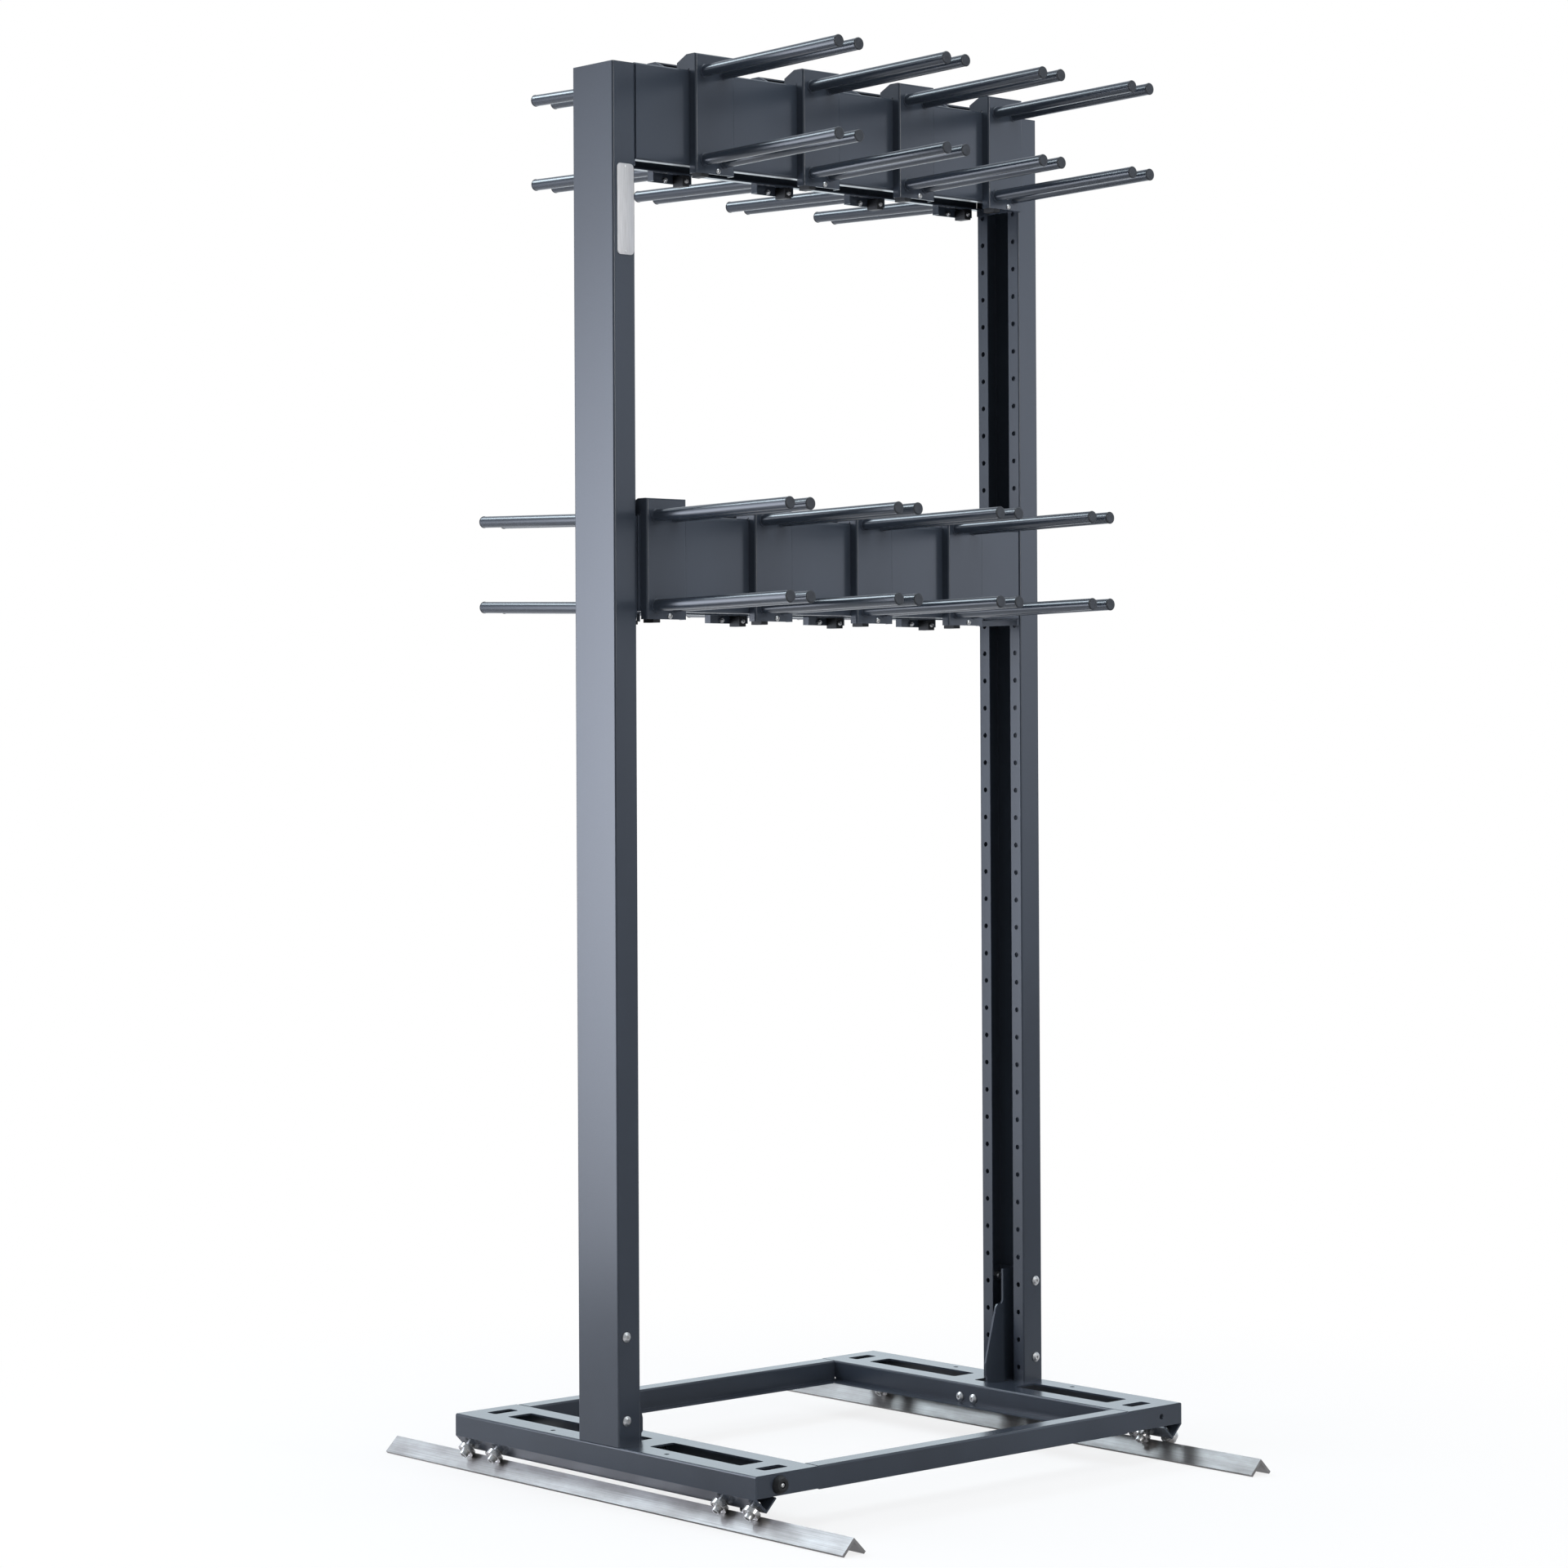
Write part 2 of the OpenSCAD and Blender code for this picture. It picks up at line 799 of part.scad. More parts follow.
// Folded hanger plate with four welded tube pegs, for the front of a beam.
module hanger(tilt) {
    color("#3f454c") {
        difference() {
            union() {
                translate([0, -beam_d / 2 - hang_gap, -hanger_drop])
                    linear_extrude(hanger_h)
                        difference() {
                            rrect(hanger_w, 2 * flange, hanger_r);
                            rrect(hanger_w - 2 * hanger_t, 2 * (flange - hanger_t), hanger_r - hanger_t);
                            translate([0, flange])
                                square([2 * hanger_w, 2 * flange], center = true);
                        }
                for (s = [-1, 1])
                    translate([s * (hanger_w - hanger_t) / 2, 0, 0])
                        along_x(hanger_t)
                            ear_profile();
                along_x(hanger_w - 2 * hanger_r)
                    top_fold_profile();
                peg_places(tilt) {
                    cylinder(d = weld_d, h = 1.5);
                    translate([0, 0, -hanger_t / 2])
                        cylinder(d = peg_d, h = peg_len + hanger_t / 2);
                }
            }
            translate([0, -plate_y, hanger_top])
                along_x(hanger_w + 1)
                    mirror([1, 0])
                        corner_cut(hanger_r);
            peg_places(tilt)
                translate([0, 0, 1])
                    cylinder(d = peg_d - 2 * peg_t, h = peg_len);
            translate([hbolt_x, -plate_y, hbolt_z - hanger_drop])
                drill_y(-1, hshank_d + bolt_gap, hanger_t);
        }
    }
}

// Button head bolt with its nut behind a sheet of thickness t.
module hanger_bolt(t) {
    head = hbolt_d * 0.3;
    nut = 4;
    difference() {
        union() {
            cylinder(d1 = hbolt_d, d2 = hbolt_d * 0.6, h = head);
            translate([0, 0, -t - nut - 2])
                cylinder(d = hshank_d, h = t + nut + 2 + e);
            translate([0, 0, -t - nut])
                cylinder(d = hshank_d * 1.6 / cos(30), h = nut, $fn = 6);
        }
        translate([0, 0, head / 2])
            cylinder(d = hshank_d * 0.6 / cos(30), h = head, $fn = 6);
    }
}

// Peg cap with a plug that sits in the tube.
module peg_cap() {
    edge = 0.8;
    plug = 12;
    cylinder(d = cap_d, h = cap_t - edge);
    translate([0, 0, cap_t - edge])
        cylinder(d1 = cap_d, d2 = cap_d - 2 * edge, h = edge);
    translate([0, 0, -plug])
        cylinder(d = peg_d - 2 * peg_t - bolt_gap, h = plug + e);
}

// Caps, clamp block and bolts of one hanger.
module fittings(tilt) {
    block_z = -hanger_drop - block_drop;
    color("#1f2022") {
        peg_places(tilt)
            translate([0, 0, peg_len])
                peg_cap();
        difference() {
            translate([-block_off - block_x, hanger_t - plate_y, block_z])
                cube([block_x, block_y, -hang_gap - block_z]);
            translate([-block_off - block_x / 2, hanger_t - plate_y + block_y, block_z / 2])
                rotate([90, 0, 0])
                    cylinder(d = hshank_d, h = 10, center = true);
        }
    }
    color("#c4c7c9") {
        translate([hbolt_x, -plate_y, hbolt_z - hanger_drop])
            rotate([90, 0, 0])
                hanger_bolt(hanger_t);
        translate([-block_off - block_x / 2, hanger_t - plate_y + block_y, block_z / 2])
            rotate([-90, 0, 0]) {
                cylinder(d = hshank_d * 1.7, h = hshank_d * 0.6);
                translate([0, 0, -5])
                    cylinder(d = hshank_d, h = 5 + e);
            }
    }
}

rail(-1);  // rail_left
rail(1);  // rail_right
section_left();
section_right();
cross_bar_front();
cross_bar_rear();
rail_buffers();
post_left();
post_right();
post_foot_left();
post_foot_right();
frame_bolts();
beam_top();
beam_middle();
roller_axles();
roller_node(1, 1, -roller_y2);  // roller_left_outer_1
roller_node(1, 1, -roller_y1);  // roller_left_outer_2
roller_node(1, 1, roller_y1);  // roller_left_outer_3
roller_node(1, 1, roller_y2);  // roller_left_outer_4
roller_node(1, -1, -roller_mid);  // roller_left_inner_1
roller_node(1, -1, roller_mid);  // roller_left_inner_2
roller_node(0, 1, -roller_y2);  // roller_right_outer_1
roller_node(0, 1, -roller_y1);  // roller_right_outer_2
roller_node(0, 1, roller_y1);  // roller_right_outer_3
roller_node(0, 1, roller_y2);  // roller_right_outer_4
roller_node(0, -1, -roller_mid);  // roller_right_inner_1
roller_node(0, -1, roller_mid);  // roller_right_inner_2
on_top(top_front[0], 0) hanger(front_tilt);  // hanger_top_front_1
on_top(top_front[1], 0) hanger(front_tilt);  // hanger_top_front_2
on_top(top_front[2], 0) hanger(front_tilt);  // hanger_top_front_3
on_top(top_front[3], 0) hanger(front_tilt);  // hanger_top_front_4
on_top(top_rear[0], 1) hanger(rear_tilt);  // hanger_top_rear_1
on_top(top_rear[1], 1) hanger(rear_tilt);  // hanger_top_rear_2
on_top(top_rear[2], 1) hanger(rear_tilt);  // hanger_top_rear_3
on_top(top_rear[3], 1) hanger(rear_tilt);  // hanger_top_rear_4
on_mid(mid_front[0], 0) hanger(front_tilt);  // hanger_mid_front_1
on_mid(mid_front[1], 0) hanger(front_tilt);  // hanger_mid_front_2
on_mid(mid_front[2], 0) hanger(front_tilt);  // hanger_mid_front_3
on_mid(mid_front[3], 0) hanger(front_tilt);  // hanger_mid_front_4
on_mid(mid_rear[0], 1) hanger(rear_tilt);  // hanger_mid_rear_1
on_mid(mid_rear[1], 1) hanger(rear_tilt);  // hanger_mid_rear_2
on_mid(mid_rear[2], 1) hanger(rear_tilt);  // hanger_mid_rear_3
on_mid(mid_rear[3], 1) hanger(rear_tilt);  // hanger_mid_rear_4
on_top(top_front[0], 0) fittings(front_tilt);  // fittings_top_front_1
on_top(top_front[1], 0) fittings(front_tilt);  // fittings_top_front_2
on_top(top_front[2], 0) fittings(front_tilt);  // fittings_top_front_3
on_top(top_front[3], 0) fittings(front_tilt);  // fittings_top_front_4
on_top(top_rear[0], 1) fittings(rear_tilt);  // fittings_top_rear_1
on_top(top_rear[1], 1) fittings(rear_tilt);  // fittings_top_rear_2
on_top(top_rear[2], 1) fittings(rear_tilt);  // fittings_top_rear_3
on_top(top_rear[3], 1) fittings(rear_tilt);  // fittings_top_rear_4
on_mid(mid_front[0], 0) fittings(front_tilt);  // fittings_mid_front_1
on_mid(mid_front[1], 0) fittings(front_tilt);  // fittings_mid_front_2
on_mid(mid_front[2], 0) fittings(front_tilt);  // fittings_mid_front_3
on_mid(mid_front[3], 0) fittings(front_tilt);  // fittings_mid_front_4
on_mid(mid_rear[0], 1) fittings(rear_tilt);  // fittings_mid_rear_1
on_mid(mid_rear[1], 1) fittings(rear_tilt);  // fittings_mid_rear_2
on_mid(mid_rear[2], 1) fittings(rear_tilt);  // fittings_mid_rear_3
on_mid(mid_rear[3], 1) fittings(rear_tilt);  // fittings_mid_rear_4
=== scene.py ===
import json
import math

import bmesh
import bpy
from mathutils import Matrix, Vector


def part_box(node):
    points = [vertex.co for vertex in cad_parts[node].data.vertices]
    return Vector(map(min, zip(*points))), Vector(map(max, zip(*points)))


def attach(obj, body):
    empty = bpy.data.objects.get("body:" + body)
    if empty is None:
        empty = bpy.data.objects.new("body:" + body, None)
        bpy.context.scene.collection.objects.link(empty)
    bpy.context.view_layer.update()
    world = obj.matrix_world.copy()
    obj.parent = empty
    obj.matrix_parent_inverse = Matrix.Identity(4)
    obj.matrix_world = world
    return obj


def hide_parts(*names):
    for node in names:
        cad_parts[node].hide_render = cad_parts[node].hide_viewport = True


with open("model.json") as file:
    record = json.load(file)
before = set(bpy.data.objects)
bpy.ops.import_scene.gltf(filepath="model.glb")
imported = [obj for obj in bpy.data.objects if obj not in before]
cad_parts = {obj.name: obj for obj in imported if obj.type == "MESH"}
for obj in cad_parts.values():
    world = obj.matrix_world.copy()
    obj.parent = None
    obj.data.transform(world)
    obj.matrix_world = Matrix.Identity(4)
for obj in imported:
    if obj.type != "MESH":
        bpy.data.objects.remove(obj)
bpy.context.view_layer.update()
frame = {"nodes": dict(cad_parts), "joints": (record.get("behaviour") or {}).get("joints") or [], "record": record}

# The rack stands with X along the beams, minus Y to the front pegs and Z up from the floor.
# Its pieces are dressed in millimetres, and MM turns them to metres.
MM = 0.001


# Colours and nodes

# A colour mix node numbers its sockets: share, colour below, colour above, and its result.
MIX_SHARE, MIX_LOW, MIX_HIGH, MIXED = 0, 6, 7, 2


def linear(code):
    """Linear colour from an sRGB hex code."""
    parts = [int(code[i:i + 2], 16) / 255 for i in (0, 2, 4)]
    return tuple(c / 12.92 if c <= 0.04045 else ((c + 0.055) / 1.055) ** 2.4 for c in parts) + (1.0,)


def add(tree, kind, sockets=None, stops=(), **settings):
    """Adds one node. Settings are its properties, sockets gives its inputs a value or the output
    that feeds them, and stops are the (place, sRGB hex code) pairs of a colour ramp."""
    node = tree.nodes.new(kind)
    for name, value in settings.items():
        setattr(node, name, value)
    for name, value in (sockets or {}).items():
        if isinstance(value, bpy.types.NodeSocket):
            tree.links.new(value, node.inputs[name])
        else:
            node.inputs[name].default_value = value
    for _ in stops[2:]:
        node.color_ramp.elements.new(0.5)
    for number, (place, code) in enumerate(stops):
        node.color_ramp.elements[number].position = place
        node.color_ramp.elements[number].color = linear(code)
    return node


def open_finish(name):
    """Empty material and its node tree."""
    material = bpy.data.materials.new(name)
    material.use_nodes = True
    material.node_tree.nodes.clear()
    return material, material.node_tree


def close_finish(tree, colour, rough, relief, **surface):
    """Ends a finish: the colour, the roughness node and the relief node feed the shader, and surface
    gives its own settings."""
    shader = add(tree, "ShaderNodeBsdfPrincipled",
                 {"Base Color": colour, "Roughness": rough.outputs["Result"],
                  "Normal": relief.outputs["Normal"], **surface})
    add(tree, "ShaderNodeOutputMaterial", {"Surface": shader.outputs["BSDF"]})


def mottle(tree, size, stretch=(1, 1, 1), detail=2.0, rough=0.5):
    """Mottling from 0 to 1 with spots about size millimetres across, drawn out along the axes by
    stretch. It is fixed to the piece and moves with it."""
    where = add(tree, "ShaderNodeTexCoord").outputs["Object"]
    scale = [1 / (size * s * MM) for s in stretch]
    spots = add(tree, "ShaderNodeMapping", {"Vector": where, "Scale": scale}).outputs["Vector"]
    return add(tree, "ShaderNodeTexNoise",
               {"Vector": spots, "Scale": 1.0, "Detail": detail, "Roughness": rough}).outputs["Fac"]


def cut_edges(tree, radius):
    """1 on edges sharper than radius millimetres, 0 on flats."""
    rounded_off = add(tree, "ShaderNodeBevel", {"Radius": radius * MM}, samples=6).outputs["Normal"]
    as_built = add(tree, "ShaderNodeNewGeometry").outputs["Normal"]
    turn = add(tree, "ShaderNodeVectorMath", {0: rounded_off, 1: as_built}, operation="DOT_PRODUCT")
    return add(tree, "ShaderNodeMapRange",
               {"Value": turn.outputs["Value"], "From Min": 0.995, "From Max": 0.85}).outputs["Result"]


# Finishes

def powder_coat():
    """Anthracite polyester powder coat, sprayed and baked on folded steel: a satin skin with a faint
    orange peel that softens what mirrors in it, painted paler on cut edges, partly where it thins and partly as a
    painted highlight."""
    material, tree = open_finish("powder_coat_anthracite")
    # The orange peel of this coat has waves of about 2.4 mm.
    peel = mottle(tree, 2.4, detail=1.0)
    # The baked grain is near 0.1 mm. It is drawn at 0.9 mm so that it shows.
    grain = mottle(tree, 0.9, detail=3.0, rough=0.7)
    # Dust and handling leave patches about 160 mm wide and twice as tall.
    patches = mottle(tree, 160.0, stretch=(1, 1, 2))
    tone = add(tree, "ShaderNodeValToRGB", {"Fac": patches}, [(0.3, "31363e"), (0.7, "363c45")])
    speck = add(tree, "ShaderNodeValToRGB", {"Fac": grain}, [(0.35, "c9c9c9"), (0.65, "ffffff")])
    coat = add(tree, "ShaderNodeMix",
               {MIX_SHARE: 0.35, MIX_LOW: tone.outputs["Color"], MIX_HIGH: speck.outputs["Color"]},
               data_type="RGBA", blend_type="MULTIPLY")
    # Cut edges get a paler tone: partly the coat thinning there, partly a painted highlight along the edges.
    thinned_and_highlit_edges = add(tree, "ShaderNodeMix",
               {MIX_SHARE: cut_edges(tree, 0.8), MIX_LOW: coat.outputs[MIXED], MIX_HIGH: linear("4c535e")},
               data_type="RGBA")
    rough = add(tree, "ShaderNodeMapRange", {"Value": patches, "To Min": 0.22, "To Max": 0.25})
    wave = add(tree, "ShaderNodeBump", {"Height": peel, "Strength": 0.12, "Distance": 0.05 * MM})
    relief = add(tree, "ShaderNodeBump", {"Height": grain, "Normal": wave.outputs["Normal"],
                                          "Strength": 0.1, "Distance": 0.02 * MM})
    close_finish(tree, thinned_and_highlit_edges.outputs[MIXED], rough, relief, IOR=1.5)
    return material


def mill_steel():
    """Drawn angle steel with its bright mill skin: long rolling streaks and grey smears, duller where
    it was handled and trodden on."""
    material, tree = open_finish("steel_mill_finish")
    # Drawing marks are 0.3 mm apart and run along the rail. They are drawn at 1.2 mm to show.
    streaks = mottle(tree, 1.2, stretch=(1, 160, 1), detail=3.0)
    smears = mottle(tree, 45.0, stretch=(1, 3, 1), detail=6.0, rough=0.65)
    tone = add(tree, "ShaderNodeValToRGB", {"Fac": smears},
               [(0.3, "989390"), (0.5, "aba7a4"), (0.72, "bfbcba")])
    lined = add(tree, "ShaderNodeValToRGB", {"Fac": streaks}, [(0.3, "c4c4c4"), (0.7, "ffffff")])
    skin = add(tree, "ShaderNodeMix",
               {MIX_SHARE: 0.6, MIX_LOW: tone.outputs["Color"], MIX_HIGH: lined.outputs["Color"]},
               data_type="RGBA", blend_type="MULTIPLY")
    rough = add(tree, "ShaderNodeMapRange", {"Value": smears, "To Min": 0.55, "To Max": 0.42})
    relief = add(tree, "ShaderNodeBump", {"Height": streaks, "Strength": 0.3, "Distance": 0.03 * MM})
    close_finish(tree, skin.outputs[MIXED], rough, relief, Metallic=1.0)
    return material


def zinc_plate():
    """Bright zinc plating on cold headed screws: silver, with faint cloudy patches."""
    material, tree = open_finish("zinc_plating_bright")
    # Passivation clouds are about 3 mm across.
    clouds = mottle(tree, 3.0, detail=3.0)
    # Forging marks are near 0.4 mm. They are drawn at 0.8 mm to show.
    marks = mottle(tree, 0.8)
    tone = add(tree, "ShaderNodeValToRGB", {"Fac": clouds}, [(0.3, "d4d3d1"), (0.7, "f2f1ef")])
    rough = add(tree, "ShaderNodeMapRange", {"Value": clouds, "To Min": 0.42, "To Max": 0.3})
    relief = add(tree, "ShaderNodeBump", {"Height": marks, "Strength": 0.15, "Distance": 0.02 * MM})
    close_finish(tree, tone.outputs["Color"], rough, relief, Metallic=1.0)
    return material


def ground_steel():
    """Hardened bearing steel, ground round: bright, with fine marks and a film of oil."""
    material, tree = open_finish("bearing_steel_ground")
    # The film of oil gathers in spots of about 6 mm.
    film = mottle(tree, 6.0, detail=3.0)
    # Grinding marks are far below 0.1 mm. They are drawn at 0.6 mm.
    marks = mottle(tree, 0.6)
    tone = add(tree, "ShaderNodeValToRGB", {"Fac": film}, [(0.3, "cbc8c5"), (0.7, "e8e5e2")])
    rough = add(tree, "ShaderNodeMapRange", {"Value": film, "To Min": 0.34, "To Max": 0.2})
    relief = add(tree, "ShaderNodeBump", {"Height": marks, "Strength": 0.05, "Distance": 0.005 * MM})
    close_finish(tree, tone.outputs["Color"], rough, relief, Metallic=1.0)
    return material


def moulded_plastic(name, dark, pale, smoothest, roughest):
    """Injection moulded plastic with a spark eroded grain that scatters highlights."""
    material, tree = open_finish(name)
    # Eroded grain is about 0.15 mm. It is drawn at 0.7 mm to show.
    grain = mottle(tree, 0.7, rough=0.6)
    # Flow in the mould leaves faint clouds of about 9 mm.
    flow = mottle(tree, 9.0, detail=3.0)
    tone = add(tree, "ShaderNodeValToRGB", {"Fac": flow}, [(0.3, dark), (0.7, pale)])
    rough = add(tree, "ShaderNodeMapRange", {"Value": grain, "To Min": smoothest, "To Max": roughest})
    relief = add(tree, "ShaderNodeBump", {"Height": grain, "Strength": 0.35, "Distance": 0.03 * MM})
    close_finish(tree, tone.outputs["Color"], rough, relief, IOR=1.46)
    return material


def black_rubber():
    """Moulded natural rubber: deep black and dull, with a dusty bloom."""
    material, tree = open_finish("rubber_black")
    # The bloom lies in patches of about 5 mm, and the skin has a grain of 0.8 mm.
    bloom = mottle(tree, 5.0, detail=5.0, rough=0.6)
    skin = mottle(tree, 0.8)
    tone = add(tree, "ShaderNodeValToRGB", {"Fac": bloom}, [(0.35, "0d0d0f"), (0.75, "17181a")])
    rough = add(tree, "ShaderNodeMapRange", {"Value": bloom, "To Min": 0.5, "To Max": 0.68})
    relief = add(tree, "ShaderNodeBump", {"Height": skin, "Strength": 0.3, "Distance": 0.03 * MM})
    close_finish(tree, tone.outputs["Color"], rough, relief, IOR=1.52)
    return material


def brushed_plate():
    """Aluminium sheet, brushed along its length and clear anodised: pale, with fine upright lines."""
    material, tree = open_finish("aluminium_brushed_anodised")
    # Brush lines are about 0.2 mm apart. They are drawn at 0.7 mm to show.
    lines = mottle(tree, 0.7, stretch=(1, 1, 60), detail=3.0)
    tone = add(tree, "ShaderNodeValToRGB", {"Fac": lines}, [(0.3, "c1bfbe"), (0.7, "d9d7d6")])
    rough = add(tree, "ShaderNodeMapRange", {"Value": lines, "To Min": 0.6, "To Max": 0.5})
    relief = add(tree, "ShaderNodeBump", {"Height": lines, "Strength": 0.2, "Distance": 0.01 * MM})
    close_finish(tree, tone.outputs["Color"], rough, relief, Metallic=1.0)
    return material


POWDER_COAT = powder_coat()
RAIL_STEEL = mill_steel()
ZINC = zinc_plate()
BEARING_STEEL = ground_steel()
CAP_PLASTIC = moulded_plastic("polyethylene_cap_black", "232529", "2d3035", 0.34, 0.46)
CLAMP_PLASTIC = moulded_plastic("polyamide_clamp_black", "0c0d0f", "141517", 0.46, 0.58)
RUBBER = black_rubber()
BRUSHED_PLATE = brushed_plate()

FINISH_OF_SLOT = {"dark_paint": POWDER_COAT, "rail_steel": RAIL_STEEL, "bearing_steel": BEARING_STEEL,
                  "zinc_steel": ZINC, "buffer_rubber": RUBBER, "black_plastic": CLAMP_PLASTIC}
for part in frame["record"]["subparts"]:
    solid = frame["nodes"][part["node"]]
    solid.data.materials.clear()
    solid.data.materials.append(FINISH_OF_SLOT[part["material_slot"]])


# Mesh tools

def put_in_scene(name, data):
    """New object in the scene, made of a mesh, a light or a camera."""
    thing = bpy.data.objects.new(name, data)
    bpy.context.scene.collection.objects.link(thing)
    return thing


def piece(name, mesh, body, finish, smooth):
    """Turns a bmesh into a piece that rides on a body and has one finish. Folds of less than smooth
    degrees are shaded round."""
    bmesh.ops.recalc_face_normals(mesh, faces=mesh.faces)
    data = bpy.data.meshes.new(name)
    mesh.to_mesh(data)
    mesh.free()
    data.materials.append(finish)
    thing = put_in_scene(name, data)
    data.shade_smooth()
    data.set_sharp_from_angle(angle=math.radians(smooth))
    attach(thing, body)
    return thing


def axis_frame(place, direction):
    """Matrix at place with its Z along direction, which is never upright here, and its X level."""
    z = Vector(direction).normalized()
    x = Vector((0, 0, 1)).cross(z).normalized()
    turn = Matrix((x, z.cross(x), z)).transposed().to_4x4()
    return Matrix.Translation(Vector(place)) @ turn


def corner(mesh, where, x, y, z):
    """New corner of a mesh, x, y and z millimetres from where."""
    return mesh.verts.new(where @ Vector((x * MM, y * MM, z * MM)))


def lathe(mesh, where, profile, steps=40):
    """Turns a profile of (radius, height) millimetres about the Z of where."""
    turns = [2 * math.pi * i / steps for i in range(steps)]
    rings = []
    for radius, height in profile:
        spots = [(radius * math.cos(a), radius * math.sin(a)) for a in turns] if radius else [(0, 0)]
        rings.append([corner(mesh, where, x, y, height) for x, y in spots])
    for low, high in zip(rings, rings[1:]):
        for i in range(steps):
            j = (i + 1) % steps
            corners = [low[i % len(low)], low[j % len(low)], high[j % len(high)], high[i % len(high)]]
            # A ring on the axis is one corner, and the faces beside it are triangles.
            mesh.faces.new(list(dict.fromkeys(corners)))


def slab(mesh, where, outline, low, high, bevel):
    """Prism over an outline of (x, y) millimetres with its edges bevelled."""
    bottom = [corner(mesh, where, x, y, low) for x, y in outline]
    top = [corner(mesh, where, x, y, high) for x, y in outline]
    faces = [mesh.faces.new(bottom[::-1]), mesh.faces.new(top)]
    for i in range(len(outline)):
        j = (i + 1) % len(outline)
        faces.append(mesh.faces.new([bottom[i], bottom[j], top[j], top[i]]))
    edges = list({edge for face in faces for edge in face.edges})
    bmesh.ops.bevel(mesh, geom=edges, offset=bevel * MM, segments=2, affect="EDGES", profile=0.7)


def rounded(width, height, radius, steps=8):
    """Outline of a rectangle with round corners, centred."""
    points = []
    for sx, sy, start in ((1, 1, 0), (-1, 1, 90), (-1, -1, 180), (1, -1, 270)):
        for i in range(steps + 1):
            a = math.radians(start + 90 * i / steps)
            points.append((sx * (width / 2 - radius) + radius * math.cos(a),
                           sy * (height / 2 - radius) + radius * math.sin(a)))
    return points


# Dome of a button head, from its seat up, in shares of the head's radius and height.
HEAD_DOME = [(0.98, 0.0), (1.0, 0.14), (0.96, 0.36), (0.83, 0.68), (0.62, 0.92)]
# Drive socket, from its rim down to its floor, in shares of its half width and the head's height.
HEAD_SOCKET = [(1.25, 1.0), (1.1, 0.95), (1.05, 0.7), (1.0, 0.3), (0.0, 0.3)]


def screw_head(mesh, where, diameter, height, socket):
    """Button head that seats on the plane Z zero of where, with its drive socket sunk in as a well."""
    lathe(mesh, where, [(diameter / 2 * r, height * h) for r, h in HEAD_DOME]
          + [(socket / 2 * r, height * h) for r, h in HEAD_SOCKET])


# Ball bearings on the rail slopes

BEARING_HALF = 4.5  # half its width
BEARING_R = 15.0
BORE_R = 8.35  # inner edge of the shields
# One side of a bearing from the bore out, as (radius, depth under the side face): the inner edge, the
# shield with its groove, the rolled lip, the face of the outer ring and its rounded corner.
BEARING_SIDE = [(BORE_R, 1.0), (BORE_R + 0.6, 0.7), (10.9, 0.7), (11.2, 1.1), (11.9, 1.1), (12.1, 0.4),
                (12.5, 0.1), (14.2, 0.0), (14.75, 0.15), (14.95, 0.5), (BEARING_R, 0.9)]


def bearing(name, place, spin):
    """Shielded ball bearing whose axle lies along spin."""
    side = [(radius, BEARING_HALF - depth) for radius, depth in BEARING_SIDE]
    other = [(radius, -height) for radius, height in reversed(side)]
    mesh = bmesh.new()
    lathe(mesh, axis_frame(place, spin), side + other + [side[0]], steps=64)
    thing = piece(name + "_rings", mesh, name, BEARING_STEEL, smooth=35)
    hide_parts(name)


for joint in frame["joints"]:
    if joint["child"].startswith("roller_"):
        bearing(joint["child"], joint["pos_m"], joint["axis"])


# Hangers

# Each is dressed in its own frame, with the origin on the middle plane of the beam, behind the middle of
# the plate and level with its lower edge. Minus Y points out of the plate, along the pegs.
PLATE_Y = 70.1  # from the origin out to the face of the plate
PLATE_T = 2.5  # thickness of the plate
PEG_LOW = 23.0  # height of the lower pair of pegs
PEG_STEP = 150.0  # from the lower pair up to the upper one
PEG_GAP = 44.0  # between the pegs of a pair
PEG_LENGTH = 332.0  # from the face of the plate to the end of the tube
PEG_TILT = {"front": 1.0, "rear": 1.6}  # degrees that the pegs rise towards their tips

# Push-in cap on the end of a peg, as (radius, height): a rolled rim and a shallow dished face.
CAP_PROFILE = [(9.9, 0.02), (10.4, 0.25), (10.5, 0.8), (10.45, 1.6), (10.1, 2.3), (9.4, 2.75),
               (8.4, 2.95), (6.5, 2.8), (3.0, 2.7), (0, 2.7)]

# Fillet weld round the foot of a peg, as (radius, height, share of the ripple).
WELD_FILLET = [(11.5, 0.05, 1.0), (11.4, 0.5, 1.0), (10.9, 1.1, 0.6), (10.4, 1.6, 0.0), (9.9, 1.9, 0.0)]
WELD_RIPPLE = 0.25
WELD_WAVES = 24
WELD_STEPS = 72

# Clamp block on the lower lip of the beam: its two ends along each axis.
BLOCK_X = (-28.5, -13.0)
BLOCK_Y = (-67.6, -41.6)
BLOCK_Z = (-5.5, 12.7)
BLOCK_BEVEL = 0.9

# Clamp bolt through the plate and small screw in the back of the block. A head is given by its
# diameter, height and socket width.
BOLT_X, BOLT_Z = 6.0, 5.5
BOLT_HEAD = (9.5, 2.8, 3.4)
BACK_SCREW_Z = 3.75
BACK_SCREW_HEAD = (8.5, 3.0, 3.2)
# Hexagon nut behind the plate with the end of the bolt standing out of it, as (radius, height).
NUT_PROFILE = [(4.6, 0.0), (4.6, 3.6), (4.2, 4.0), (2.6, 4.0), (2.5, 6.4), (2.1, 6.8), (0, 6.8)]
NUT_SIDES = 6


def hanger_frame(node):
    """Matrix of a hanger's own frame."""
    low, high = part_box(node)
    turn = math.pi if abs(high.y) > abs(low.y) else 0.0
    place = Vector(((low.x + high.x) / 2, 0, low.z))
    return Matrix.Translation(place) @ Matrix.Rotation(turn, 4, "Z")


